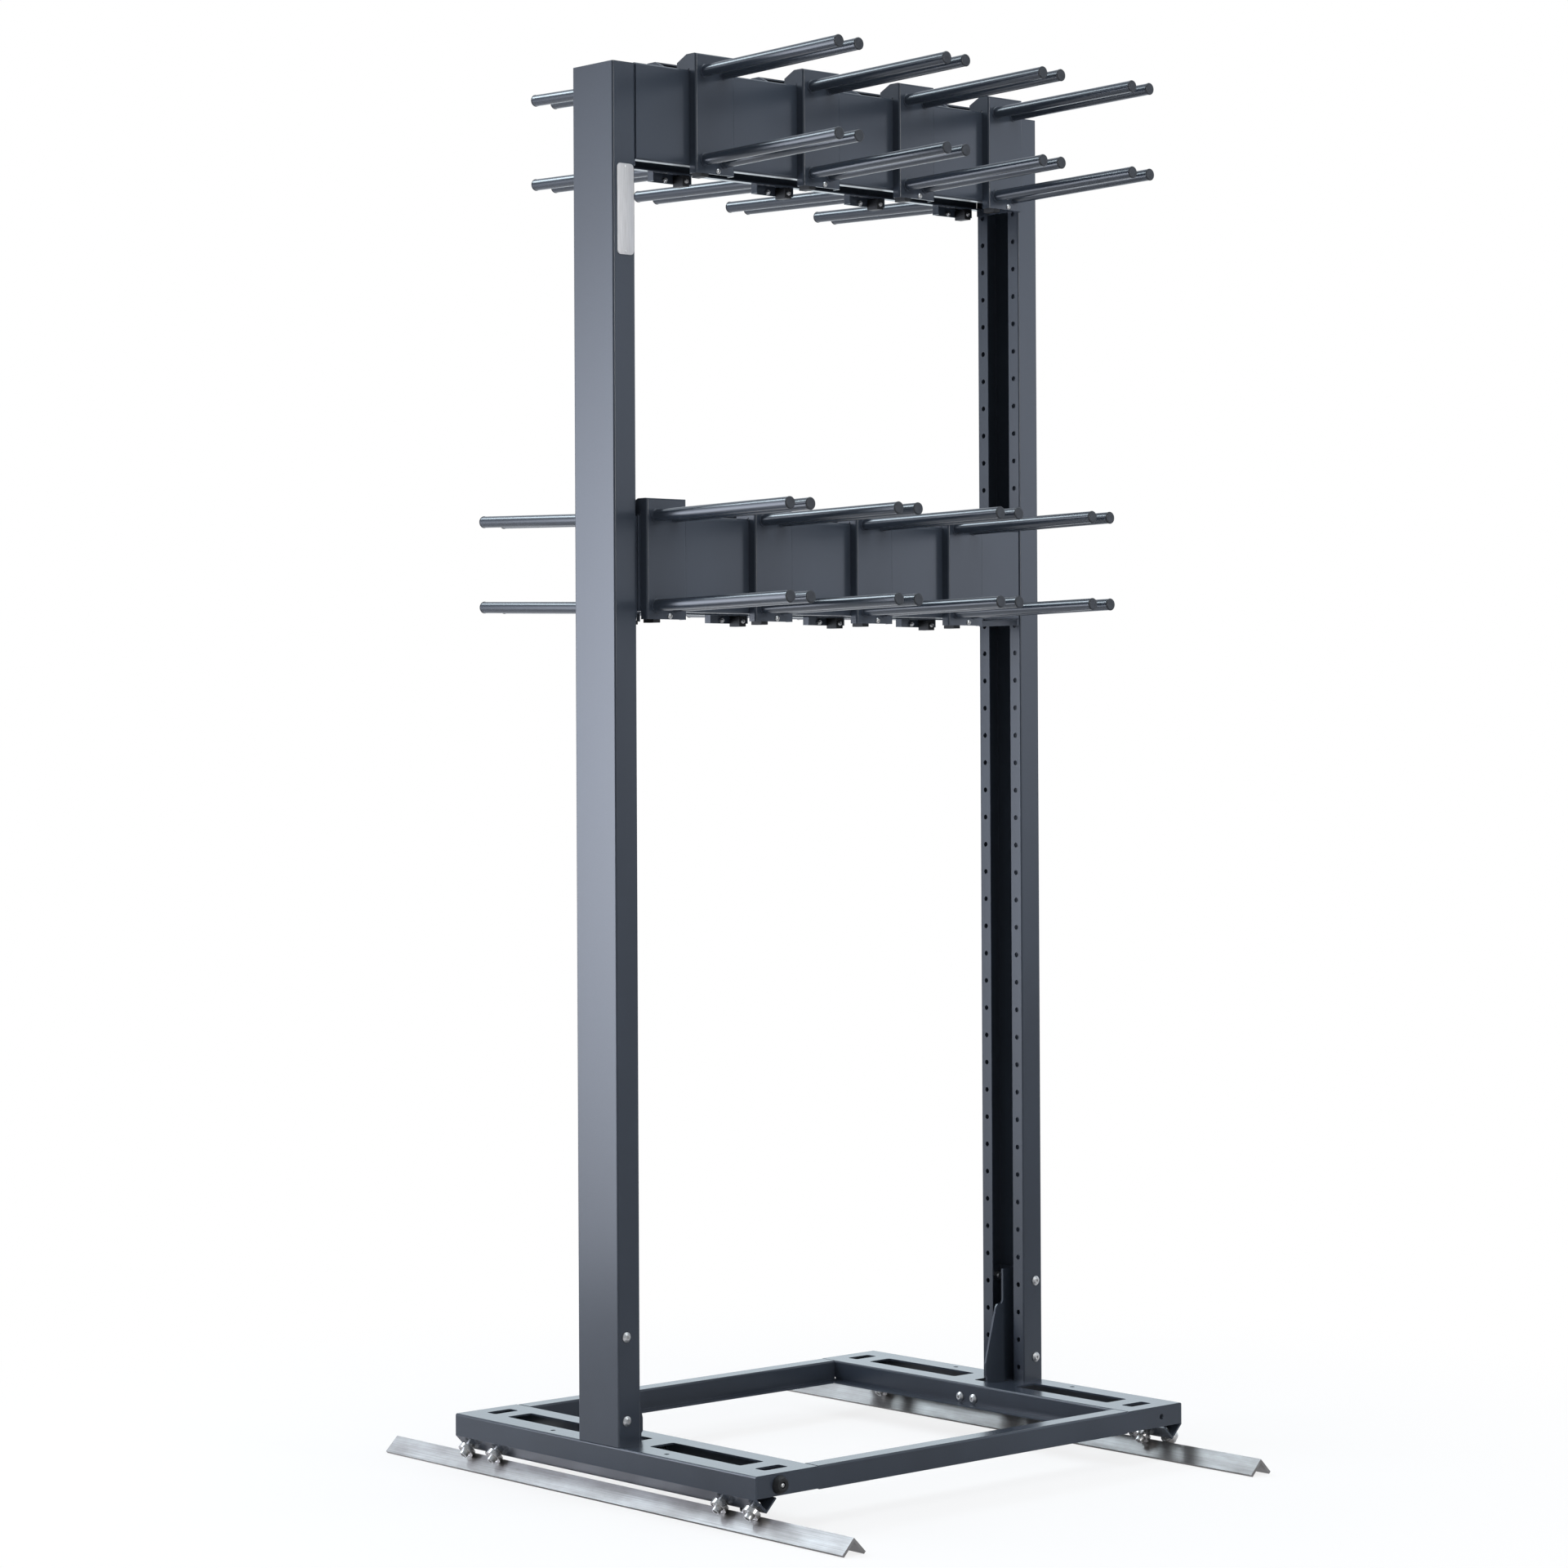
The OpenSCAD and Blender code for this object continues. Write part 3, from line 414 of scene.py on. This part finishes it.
def weld_bead(mesh, where):
    """Weld round the foot of a peg, with the ripple of its bead."""
    arcs = []
    for i in range(WELD_STEPS):
        a = 2 * math.pi * i / WELD_STEPS
        swell = WELD_RIPPLE * math.cos(a * WELD_WAVES)
        arc = [(radius + swell * share, height) for radius, height, share in WELD_FILLET]
        arcs.append([corner(mesh, where, r * math.cos(a), r * math.sin(a), height) for r, height in arc])
    for here, there in zip(arcs, arcs[1:] + arcs[:1]):
        for j in range(len(WELD_FILLET) - 1):
            mesh.faces.new([here[j], there[j], there[j + 1], here[j + 1]])


def pegs(base, tilt):
    """Weld beads at the feet and caps on the tips of a hanger's four pegs."""
    along = Vector((0, -math.cos(math.radians(tilt)), math.sin(math.radians(tilt))))
    welds, caps = bmesh.new(), bmesh.new()
    for x in (-PEG_GAP / 2, PEG_GAP / 2):
        for z in (PEG_LOW, PEG_LOW + PEG_STEP):
            foot = Vector((x, -PLATE_Y, z)) * MM
            weld_bead(welds, base @ axis_frame(foot, (0, -1, 0)))
            lathe(caps, base @ axis_frame(foot + along * PEG_LENGTH * MM, along), CAP_PROFILE)
    return welds, caps


def clamp_block(base):
    """Moulded block that grips the lower lip of the beam."""
    mesh = bmesh.new()
    outline = [(BLOCK_X[0], BLOCK_Y[0]), (BLOCK_X[1], BLOCK_Y[0]), (BLOCK_X[1], BLOCK_Y[1]),
               (BLOCK_X[0], BLOCK_Y[1])]
    slab(mesh, base, outline, BLOCK_Z[0], BLOCK_Z[1], BLOCK_BEVEL)
    return mesh


def clamp_screws(base):
    """Head and nut of the clamp bolt, and the head of the screw in the back of the block."""
    mesh = bmesh.new()
    out, back = (0, -1, 0), (0, 1, 0)
    bolt = Vector((BOLT_X, -PLATE_Y, BOLT_Z)) * MM
    screw = Vector((sum(BLOCK_X) / 2, BLOCK_Y[1], BACK_SCREW_Z)) * MM
    nut = Vector((BOLT_X, -PLATE_Y + PLATE_T, BOLT_Z)) * MM
    screw_head(mesh, base @ axis_frame(bolt, out), *BOLT_HEAD)
    screw_head(mesh, base @ axis_frame(screw, back), *BACK_SCREW_HEAD)
    lathe(mesh, base @ axis_frame(nut, back), NUT_PROFILE, steps=NUT_SIDES)
    return mesh


def dress_hanger(label):
    """Welds, caps, clamp block and screws of one hanger, all on its body."""
    hanger, fittings = "hanger_" + label, "fittings_" + label
    base = hanger_frame(hanger)
    welds, caps = pegs(base, PEG_TILT[label.split("_")[1]])
    piece(hanger + "_welds", welds, hanger, POWDER_COAT, smooth=80)
    thing = piece(fittings + "_caps", caps, hanger, CAP_PLASTIC, smooth=50)
    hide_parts(fittings)
    piece(fittings + "_block", clamp_block(base), hanger, CLAMP_PLASTIC, smooth=30)
    piece(fittings + "_screws", clamp_screws(base), hanger, ZINC, smooth=35)


for node in sorted(frame["nodes"]):
    if node.startswith("hanger_"):
        dress_hanger(node[len("hanger_"):])


# Rubber buffers on two corners

BUFFER_R = 15.0  # radius near the wall
BUFFER_H = 10.0  # from the wall to the face
BUFFER_WELL = 6.2  # floor of the well in the face, from the wall, where the screw seats
# Half section as (radius, height over the wall): the stem in the wall, the rounded foot, the cone, the
# rounded face and the well.
BUFFER_PROFILE = [(0, -8.0), (4.7, -8.0), (4.7, 0.0), (14.8, 0.0), (BUFFER_R, 0.4), (BUFFER_R, 1.4),
                  (14.7, 2.2), (11.5, 9.3), (11.2, 9.8), (10.7, BUFFER_H), (6.0, BUFFER_H), (5.3, 9.7),
                  (5.1, 9.2), (5.1, BUFFER_WELL), (0, BUFFER_WELL)]
BUFFER_HEAD = (9.0, 3.5, 3.2)  # diameter, height and socket width


def rail_buffers():
    """Conical rubber stops on two opposite corners of the base, each with a zinc screw sunk in."""
    low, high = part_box("rail_buffers")
    out, along = high.x - BUFFER_R * MM, high.y - BUFFER_H * MM
    rubber, screws = bmesh.new(), bmesh.new()
    for side in (-1, 1):
        where = axis_frame((side * out, side * along, (low.z + high.z) / 2), (0, side, 0))
        lathe(rubber, where, BUFFER_PROFILE, steps=56)
        screw_head(screws, where @ Matrix.Translation((0, 0, BUFFER_WELL * MM)), *BUFFER_HEAD)
    thing = piece("rail_buffers_rubber", rubber, "carriage", RUBBER, smooth=25)
    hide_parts("rail_buffers")
    piece("rail_buffers_screws", screws, "carriage", ZINC, smooth=35)


rail_buffers()


# Nameplate on the left post, left bare

NAMEPLATE_IN = 26.0  # its middle from the outer side of the post
NAMEPLATE_DOWN = 245.284  # its middle from the top of the post
NAMEPLATE_W, NAMEPLATE_H, NAMEPLATE_T = 35.5, 151.5, 1.0
NAMEPLATE_CORNER, NAMEPLATE_BEVEL = 7.0, 0.3
RIVET_OUT = 70.5  # a rivet from the middle of the plate
RIVET_PROFILE = [(2.0, 0.0), (1.9, 0.5), (1.3, 0.9), (0.5, 1.05), (0, 1.05)]  # (radius, height)


def nameplate():
    """Thin upright plate with round corners and a rivet near each end."""
    low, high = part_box("post_left")
    middle = Vector((low.x + NAMEPLATE_IN * MM, low.y, high.z - NAMEPLATE_DOWN * MM))
    where = axis_frame(middle, (0, -1, 0))
    outline = rounded(NAMEPLATE_W, NAMEPLATE_H, NAMEPLATE_CORNER)
    sheet, rivets = bmesh.new(), bmesh.new()
    slab(sheet, where, outline, 0.0, NAMEPLATE_T, NAMEPLATE_BEVEL)
    piece("nameplate_bare", sheet, "carriage", BRUSHED_PLATE, smooth=30)
    for end in (-RIVET_OUT, RIVET_OUT):
        spot = where @ Matrix.Translation((0, end * MM, NAMEPLATE_T * MM))
        lathe(rivets, spot, RIVET_PROFILE, steps=20)
    piece("nameplate_rivets", rivets, "carriage", ZINC, smooth=60)


nameplate()


# Camera, floor and light, all in metres

# Where the photograph was taken, from the vanishing lines of posts, beams and base.
CAMERA_PLACE = (-4.5662, -5.0322, 1.2805)
CAMERA_VIEW = (0.66564, 0.74624, 0.00622)
CAMERA_ROLL = 0.0049  # radians
SENSOR, LENS = 36.0, 89.04  # width of the sensor and focal length, millimetres
SHIFT_Y = -0.0488

# The gloss of the rack mirrors a dim room on the camera side and a white wall behind. The room turns
# into the wall between two cosines to the view.
ROOM_DIM, WALL = 0.35, 1.0
ROOM_TO_WALL = (0.15, 0.75)
FILL = 0.5  # even light from all round

FLOOR_HALF = 30.0
FLOOR_DROP = 0.0005  # keeps the floor clear of the rails that stand on it
# The camera sees the floor run out into white between two distances from the middle. Up to the first it
# has this share of white, so that the shadow stays faint.
FADE = (0.6, 2.0)
FADE_START = 0.8
# In the gloss of the rack the floor goes from the room to the wall between two places along Y. Up to the
# first of two distances from the middle, a painted shade of the rack leaves it this share of its brightness,
# and past the second the painted shade is gone.
SWEEP = (-1.4, 0.4)
PAINTED_SHADE = (0.45, 0.9)
PAINTED_SHADE_LEVEL = 0.3

# Softboxes: name, place, point that it faces, width, height, watts, colour, and if the camera sees it.
SOFTBOXES = [
    # Mirrors in the left sides of the left post.
    ("softbox_left_back", (-2.3, 1.85, 1.3), (-0.5, -0.05, 1.3), 1.6, 4.4, 205, "e6eeff", True),
    # Draws the bright lines along the pegs.
    ("softbox_high_back", (-1.8, 3.7, 4.8), (0, 0, 1.8), 3.6, 2.0, 470, "dbebf6", True),
    # Lights the rack and the floor from above.
    ("softbox_top", (0.4, -1.0, 5.2), (0, 0, 0.8), 5.0, 5.0, 400, "e8f3fa", True),
    # Lights the front faces.
    ("softbox_front", (0.3, -5.6, 2.6), (0, 0, 1.6), 1.6, 3.6, 360, "ffffff", True),
    # Mirrors in the front faces.
    ("softbox_right", (4.3, -3.9, 2.3), (0, 0, 2.0), 4.2, 5.0, 140, "e6eeff", True),
    # Mirrors in the level tops of the base.
    ("softbox_behind", (4.2, 4.7, 1.5), (0, 0, 0.1), 9.0, 3.2, 82, "dcf0f6", False),
]


def camera():
    """Camera at the photograph's place, level apart from a slight roll."""
    data = bpy.data.cameras.new("camera")
    data.sensor_width = SENSOR
    data.lens = LENS
    data.shift_y = SHIFT_Y
    data.clip_end = 100.0
    forward = Vector(CAMERA_VIEW).normalized()
    level = forward.cross(Vector((0, 0, 1))).normalized()
    up = (level.cross(forward) + CAMERA_ROLL * level).normalized()
    turn = Matrix((forward.cross(up), up, -forward)).transposed().to_4x4()
    thing = put_in_scene("camera", data)
    thing.matrix_world = Matrix.Translation(Vector(CAMERA_PLACE)) @ turn
    bpy.context.scene.camera = thing


def ray_kinds(tree):
    """Two marks: 1 on rays straight from the camera, through glass too, and 1 on mirrored rays."""
    path = add(tree, "ShaderNodeLightPath").outputs
    direct = add(tree, "ShaderNodeMath", {0: path["Is Camera Ray"], 1: path["Is Transmission Ray"]},
                 operation="MAXIMUM")
    return direct.outputs[0], path["Is Glossy Ray"]


def pale_floor():
    """Plain white studio floor with a faint soft shadow near the rack, running out into white.
    Reflections see it glow pale behind the rack, dimmer towards the room in front, and darkened near the rack by a
    painted shade."""
    material, tree = open_finish("studio_floor_white")
    where = add(tree, "ShaderNodeTexCoord").outputs["Object"]
    far = add(tree, "ShaderNodeVectorMath", {"Vector": where}, operation="LENGTH").outputs["Value"]
    depth = add(tree, "ShaderNodeSeparateXYZ", {"Vector": where}).outputs["Y"]
    direct, glossy = ray_kinds(tree)
    whiteness = add(tree, "ShaderNodeMapRange",
                    {"Value": far, "From Min": FADE[0], "From Max": FADE[1], "To Min": FADE_START},
                    interpolation_type="SMOOTHSTEP")
    by_eye = add(tree, "ShaderNodeMath", {0: whiteness.outputs["Result"], 1: direct}, operation="MULTIPLY")
    ground = add(tree, "ShaderNodeBsdfDiffuse", {"Color": linear("f0f0f0")})
    white = add(tree, "ShaderNodeEmission", {"Color": linear("ffffff"), "Strength": 1.0})
    lit = add(tree, "ShaderNodeMixShader",
              {"Fac": by_eye.outputs[0], 1: ground.outputs[0], 2: white.outputs[0]})
    sweep = add(tree, "ShaderNodeMapRange", {"Value": depth, "From Min": SWEEP[0], "From Max": SWEEP[1],
                                             "To Min": ROOM_DIM, "To Max": WALL})
    # Painted shade of the rack in the floor's glow that reflections see.
    painted_shade = add(tree, "ShaderNodeMapRange",
                {"Value": far, "From Min": PAINTED_SHADE[0], "From Max": PAINTED_SHADE[1], "To Min": PAINTED_SHADE_LEVEL})
    level = add(tree, "ShaderNodeMath", {0: sweep.outputs["Result"], 1: painted_shade.outputs["Result"]},
                operation="MULTIPLY")
    mirrored = add(tree, "ShaderNodeEmission", {"Color": linear("f4f8ff"), "Strength": level.outputs[0]})
    mix = add(tree, "ShaderNodeMixShader", {"Fac": glossy, 1: lit.outputs[0], 2: mirrored.outputs[0]})
    add(tree, "ShaderNodeOutputMaterial", {"Surface": mix.outputs[0]})
    mesh = bpy.data.meshes.new("floor")
    corners = [(-1, -1), (1, -1), (1, 1), (-1, 1)]
    mesh.from_pydata([(x * FLOOR_HALF, y * FLOOR_HALF, 0) for x, y in corners], [], [(0, 1, 2, 3)])
    mesh.materials.append(material)
    floor = put_in_scene("floor", mesh)
    floor.location.z = -FLOOR_DROP


def studio_world():
    """White wall behind the rack for camera and reflections, a dim room on the camera side, soft fill."""
    world = bpy.data.worlds.new("studio")
    world.use_nodes = True
    tree = world.node_tree
    tree.nodes.clear()
    direct, glossy = ray_kinds(tree)
    way = add(tree, "ShaderNodeTexCoord").outputs["Generated"]
    facing = add(tree, "ShaderNodeVectorMath", {0: way, 1: (CAMERA_VIEW[0], CAMERA_VIEW[1], 0)},
                 operation="DOT_PRODUCT")
    wall = add(tree, "ShaderNodeMapRange",
               {"Value": facing.outputs["Value"], "From Min": ROOM_TO_WALL[0], "From Max": ROOM_TO_WALL[1],
                "To Min": ROOM_DIM, "To Max": WALL})
    fill = add(tree, "ShaderNodeBackground", {"Color": linear("eef3fb"), "Strength": FILL})
    mirrored = add(tree, "ShaderNodeBackground",
                   {"Color": linear("ecf5ff"), "Strength": wall.outputs["Result"]})
    white = add(tree, "ShaderNodeBackground", {"Color": linear("ffffff"), "Strength": 1.0})
    soft = add(tree, "ShaderNodeMixShader", {"Fac": glossy, 1: fill.outputs[0], 2: mirrored.outputs[0]})
    mix = add(tree, "ShaderNodeMixShader", {"Fac": direct, 1: soft.outputs[0], 2: white.outputs[0]})
    add(tree, "ShaderNodeOutputWorld", {"Surface": mix.outputs[0]})
    bpy.context.scene.world = world


def softbox(name, place, target, width, height, power, colour, seen):
    """Soft light that is hottest in its middle and falls to nothing at the rim, as through cloth."""
    data = bpy.data.lights.new(name, "AREA")
    data.shape = "RECTANGLE"
    data.size, data.size_y = width, height
    data.energy = power
    data.color = linear(colour)[:3]
    data.use_nodes = True
    tree = data.node_tree
    tree.nodes.clear()
    spot = add(tree, "ShaderNodeNewGeometry").outputs["Parametric"]
    axes = add(tree, "ShaderNodeSeparateXYZ", {"Vector": spot}).outputs
    rims = []
    for axis in "XY":
        # The place runs from 0 to 1 across the box, and this folds it to 0 at both rims.
        inward = add(tree, "ShaderNodeMath", {0: axes[axis], 1: 0.5}, operation="PINGPONG")
        rims.append(add(tree, "ShaderNodeMapRange", {"Value": inward.outputs[0], "From Max": 0.5},
                        interpolation_type="SMOOTHSTEP").outputs["Result"])
    glow = add(tree, "ShaderNodeMath", {0: rims[0], 1: rims[1]}, operation="MULTIPLY")
    shine = add(tree, "ShaderNodeEmission", {"Strength": glow.outputs[0]})
    add(tree, "ShaderNodeOutputLight", {"Surface": shine.outputs[0]})
    thing = put_in_scene(name, data)
    thing.rotation_euler = (Vector(target) - Vector(place)).to_track_quat("-Z", "Y").to_euler()
    thing.location = place
    thing.visible_camera = seen


camera()
pale_floor()
studio_world()
for box in SOFTBOXES:
    softbox(*box)
bpy.context.scene.view_settings.view_transform = "Standard"
